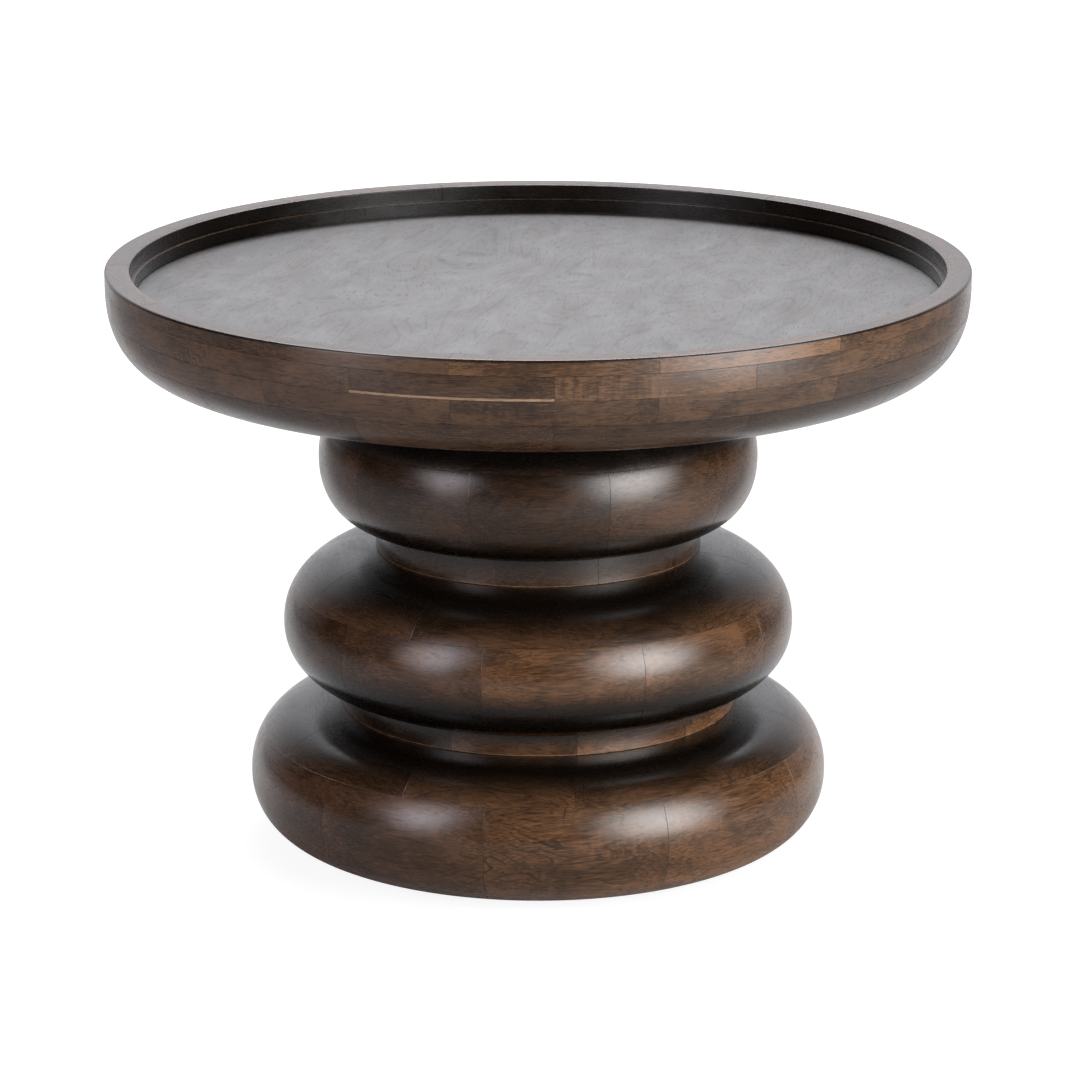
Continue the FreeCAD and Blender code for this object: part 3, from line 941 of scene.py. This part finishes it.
def panel_boards():
    """The tray's panel: boards that run from front to back, glued edge to edge, cut round."""
    width = 2 * PANEL_RADIUS / PANEL_BOARDS
    lean = Matrix.Rotation(math.radians(PANEL_LEAN), 3, "Z")
    whole = bmesh.new()
    grain, tone = [], []
    dice = random.Random("panel")
    for index in range(PANEL_BOARDS):
        low = -PANEL_RADIUS + index * width
        high = low + width
        board = bmesh.new()
        mark = board.faces.layers.float.new("edge")
        bmesh.ops.create_circle(board, cap_ends=True, segments=720, radius=PANEL_RADIUS * MM)
        for edge, side in ((low, -1), (high, 1)):
            bmesh.ops.bisect_plane(
                board,
                geom=board.verts[:] + board.edges[:] + board.faces[:],
                dist=CUT_TOLERANCE,
                plane_co=(edge * MM, 0, 0),
                plane_no=(side, 0, 0),
                clear_outer=True,
            )
        bmesh.ops.translate(board, verts=board.verts[:], vec=(0, 0, TRAY_LOW_SEAM * MM))
        lifted = bmesh.ops.extrude_face_region(board, geom=board.faces[:])
        top = [part for part in lifted["geom"] if isinstance(part, bmesh.types.BMVert)]
        thickness = PANEL_TOP - TRAY_LOW_SEAM
        bmesh.ops.translate(board, verts=top, vec=(0, 0, thickness * MM))
        bmesh.ops.recalc_face_normals(board, faces=board.faces[:])
        joints = [
            edge
            for edge in board.edges
            if all(
                vert.co.z > (PANEL_TOP - 1) * MM
                and min(abs(vert.co.x / MM - low), abs(vert.co.x / MM - high)) < 0.01
                for vert in edge.verts
            )
            and edge.calc_length() > 20 * MM
        ]
        made = bmesh.ops.bevel(
            board,
            geom=joints,
            offset=PANEL_JOINT_EASE * MM,
            offset_type="OFFSET",
            segments=1,
            profile=0.5,
            affect="EDGES",
            clamp_overlap=True,
            material=-1,
        )
        for face in made["faces"]:
            face[mark] = JOINT_MARK
        pattern = bpy.data.meshes.new("board")
        board.to_mesh(pattern)
        board.free()
        whole.from_mesh(pattern)
        places = np.array([vert.co for vert in pattern.vertices])
        places = places @ np.array(lean.transposed())
        bpy.data.meshes.remove(pattern)
        grain.append(places[:, [1, 0, 2]])
        tone.append(np.full(len(places), dice.gauss(1.0, 0.05)))
    mesh = bpy.data.meshes.new("tray_panel_boards")
    whole.to_mesh(mesh)
    whole.free()
    carry(mesh, "grain", "FLOAT_VECTOR", np.concatenate(grain))
    carry(mesh, "tone", "FLOAT", np.concatenate(tone))
    placed("tray_panel_boards", mesh, "panel_wood", PANEL_WOOD, "tray_panel")


panel_boards()

# What is inside and underneath keeps its CAD shape
kept = {
    "neck_plate": INNER_WOOD,
    "tray_underboard": INNER_WOOD,
    "bottom_plate": INNER_WOOD,
    "glue_blocks": INNER_WOOD,
    "tray_bearers": INNER_WOOD,
    "tray_screws": SCREW_STEEL,
    "felt_pads": PAD_FELT,
}
for node, finish in kept.items():
    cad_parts[node].data.materials.clear()
    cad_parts[node].data.materials.append(finish)


# The studio

LAMP_AIM = Vector((0, 0, 0.2))   # the middle of the pedestal


def softbox(name, azimuth, elevation, distance, width, height, brightness, colour):
    """A rectangular lamp that faces the pedestal, brightest in its middle."""
    lamp = bpy.data.lights.new(name, "AREA")
    lamp.shape = "RECTANGLE"
    lamp.size, lamp.size_y = width, height
    lamp.energy = brightness * math.pi * width * height
    lamp.color = colour
    tree = empty_tree(lamp)
    cloth = add(tree, "ShaderNodeNewGeometry", {}, {})
    centred = add(
        tree,
        "ShaderNodeVectorMath",
        {"operation": "MULTIPLY_ADD"},
        {0: cloth.outputs["Parametric"], 1: (2, 2, 0), 2: (-1, -1, 0)},
    )
    reach = add(tree, "ShaderNodeVectorMath", {"operation": "LENGTH"}, {0: centred.outputs[0]})
    fade = add(
        tree,
        "ShaderNodeMapRange",
        {"interpolation_type": "SMOOTHSTEP"},
        {"Value": reach.outputs["Value"], "From Min": 1.0, "From Max": 0.0},
    )
    glow = add(tree, "ShaderNodeEmission", {}, {"Strength": fade.outputs[0]})
    add(tree, "ShaderNodeOutputLight", {}, {"Surface": glow.outputs[0]})
    holder = bpy.data.objects.new(name, lamp)
    bpy.context.scene.collection.objects.link(holder)
    around, up = math.radians(azimuth), math.radians(elevation)
    back = Vector(
        (math.sin(around) * math.cos(up), -math.cos(around) * math.cos(up), math.sin(up))
    )
    holder.location = LAMP_AIM + back * distance
    holder.rotation_mode = "QUATERNION"
    holder.rotation_quaternion = (-back).to_track_quat("-Z", "Y")
    holder.visible_camera = False


softbox(
    "left_softbox",
    azimuth=-46,
    elevation=21,
    distance=1.8,
    width=1.2,
    height=2.3,
    brightness=6.6,
    colour=(0.97, 0.92, 1.0),
)
softbox(
    "right_softbox",
    azimuth=48,
    elevation=14,
    distance=1.8,
    width=2.1,
    height=2.4,
    brightness=12.0,
    colour=(1.0, 1.0, 1.0),
)
softbox(
    "back_softbox",
    azimuth=180,
    elevation=48,
    distance=5.0,
    width=6.6,
    height=2.8,
    brightness=15.0,
    colour=(0.95, 0.96, 1.0),
)


def white_paper(name):
    """White paper. It takes the table's shadow, and is white to the camera.

    Lacquer mirrors it brighter in a wedge behind the table. From below it is clear, so
    that the underside shows.
    """
    made = bpy.data.materials.new(name)
    tree = empty_tree(made)
    matt = add(tree, "ShaderNodeBsdfDiffuse", {}, {"Color": linear("#b6b6b6")})
    glow = add(tree, "ShaderNodeEmission", {}, {"Color": (1, 1, 1, 1), "Strength": 1.5})
    path = add(tree, "ShaderNodeLightPath", {}, {})
    spot = add(tree, "ShaderNodeTexCoord", {}, {})
    parts = add(tree, "ShaderNodeSeparateXYZ", {}, {0: spot.outputs["Object"]})
    aside = add(tree, "ShaderNodeMath", {"operation": "ABSOLUTE"}, {0: parts.outputs["X"]})
    spread = add(
        tree,
        "ShaderNodeMath",
        {"operation": "MULTIPLY_ADD"},
        {0: parts.outputs["Y"], 1: -0.55, 2: aside.outputs[0]},
    )
    wedge = add(
        tree,
        "ShaderNodeMapRange",
        {"interpolation_type": "SMOOTHSTEP"},
        {"Value": spread.outputs[0], "From Min": 0.6, "From Max": 0.3, "To Max": 0.44},
    )
    behind = add(
        tree,
        "ShaderNodeMapRange",
        {"interpolation_type": "SMOOTHSTEP"},
        {"Value": parts.outputs["Y"], "From Min": -0.1, "From Max": 0.15},
    )
    lit = add(
        tree,
        "ShaderNodeMath",
        {"operation": "MULTIPLY"},
        {0: wedge.outputs[0], 1: behind.outputs[0]},
    )
    mirrored = add(
        tree,
        "ShaderNodeMath",
        {"operation": "MULTIPLY"},
        {0: path.outputs["Is Glossy Ray"], 1: lit.outputs[0]},
    )
    away = add(tree, "ShaderNodeVectorMath", {"operation": "LENGTH"}, {0: spot.outputs["Object"]})
    bright = add(
        tree,
        "ShaderNodeMapRange",
        {"interpolation_type": "SMOOTHSTEP"},
        {"Value": away.outputs["Value"], "From Min": 0.6, "From Max": 2.0, "To Min": 0.6},
    )
    seen = add(
        tree,
        "ShaderNodeMath",
        {"operation": "MULTIPLY_ADD"},
        {0: path.outputs["Is Camera Ray"], 1: bright.outputs[0], 2: mirrored.outputs[0]},
    )
    both = add(
        tree,
        "ShaderNodeMixShader",
        {},
        {0: seen.outputs[0], 1: matt.outputs[0], 2: glow.outputs[0]},
    )
    side = add(tree, "ShaderNodeNewGeometry", {}, {})
    clear = add(tree, "ShaderNodeBsdfTransparent", {}, {})
    one_way = add(
        tree,
        "ShaderNodeMixShader",
        {},
        {0: side.outputs["Backfacing"], 1: both.outputs[0], 2: clear.outputs[0]},
    )
    add(tree, "ShaderNodeOutputMaterial", {}, {"Surface": one_way.outputs[0]})
    return made


FLOOR_REACH = 14.0
floor_mesh = bpy.data.meshes.new("floor")
floor_form = bmesh.new()
bmesh.ops.create_grid(floor_form, x_segments=1, y_segments=1, size=FLOOR_REACH)
floor_form.to_mesh(floor_mesh)
floor_form.free()
floor_mesh.materials.append(white_paper("white_paper_floor"))
floor = bpy.data.objects.new("floor", floor_mesh)
bpy.context.scene.collection.objects.link(floor)


def dark_room(name):
    """A dark room with a pale wall behind the table. The camera sees white all round."""
    made = bpy.data.worlds.new(name)
    tree = empty_tree(made)
    direction = add(tree, "ShaderNodeTexCoord", {}, {})
    parts = add(tree, "ShaderNodeSeparateXYZ", {}, {0: direction.outputs["Generated"]})
    wall = add(
        tree,
        "ShaderNodeMapRange",
        {"interpolation_type": "SMOOTHSTEP"},
        {"Value": parts.outputs["Y"], "From Min": 0.42, "From Max": 1.0},
    )
    path = add(tree, "ShaderNodeLightPath", {}, {})
    level = add(
        tree,
        "ShaderNodeMath",
        {"operation": "MAXIMUM"},
        {0: wall.outputs[0], 1: path.outputs["Is Camera Ray"]},
    )
    tint = add(
        tree,
        "ShaderNodeMix",
        {"data_type": "RGBA"},
        {0: path.outputs["Is Camera Ray"], 6: (0.95, 0.95, 1.0, 1), 7: (1, 1, 1, 1)},
    )
    sky = add(
        tree,
        "ShaderNodeBackground",
        {},
        {"Color": tint.outputs[2], "Strength": level.outputs[0]},
    )
    add(tree, "ShaderNodeOutputWorld", {}, {"Surface": sky.outputs[0]})
    return made


bpy.context.scene.world = dark_room("studio")

# The camera, fitted to the outlines of the table in the photograph
CAMERA_DISTANCE = 3.4
CAMERA_TILT = math.radians(15.568)
CAMERA_ASIDE = 0.00145
CAMERA_AIM = 0.23156        # height of the point it looks at
lens = bpy.data.cameras.new("camera")
lens.lens = 145.85
lens.sensor_width = 36.0
lens.clip_start = 0.1
lens.clip_end = 60.0
camera = bpy.data.objects.new("camera", lens)
bpy.context.scene.collection.objects.link(camera)
camera.location = (
    CAMERA_ASIDE,
    -CAMERA_DISTANCE * math.cos(CAMERA_TILT),
    CAMERA_AIM + CAMERA_DISTANCE * math.sin(CAMERA_TILT),
)
camera.rotation_euler = (math.pi / 2 - CAMERA_TILT, 0, 0)
bpy.context.scene.camera = camera
bpy.context.scene.view_settings.view_transform = "Standard"

bpy.context.view_layer.update()
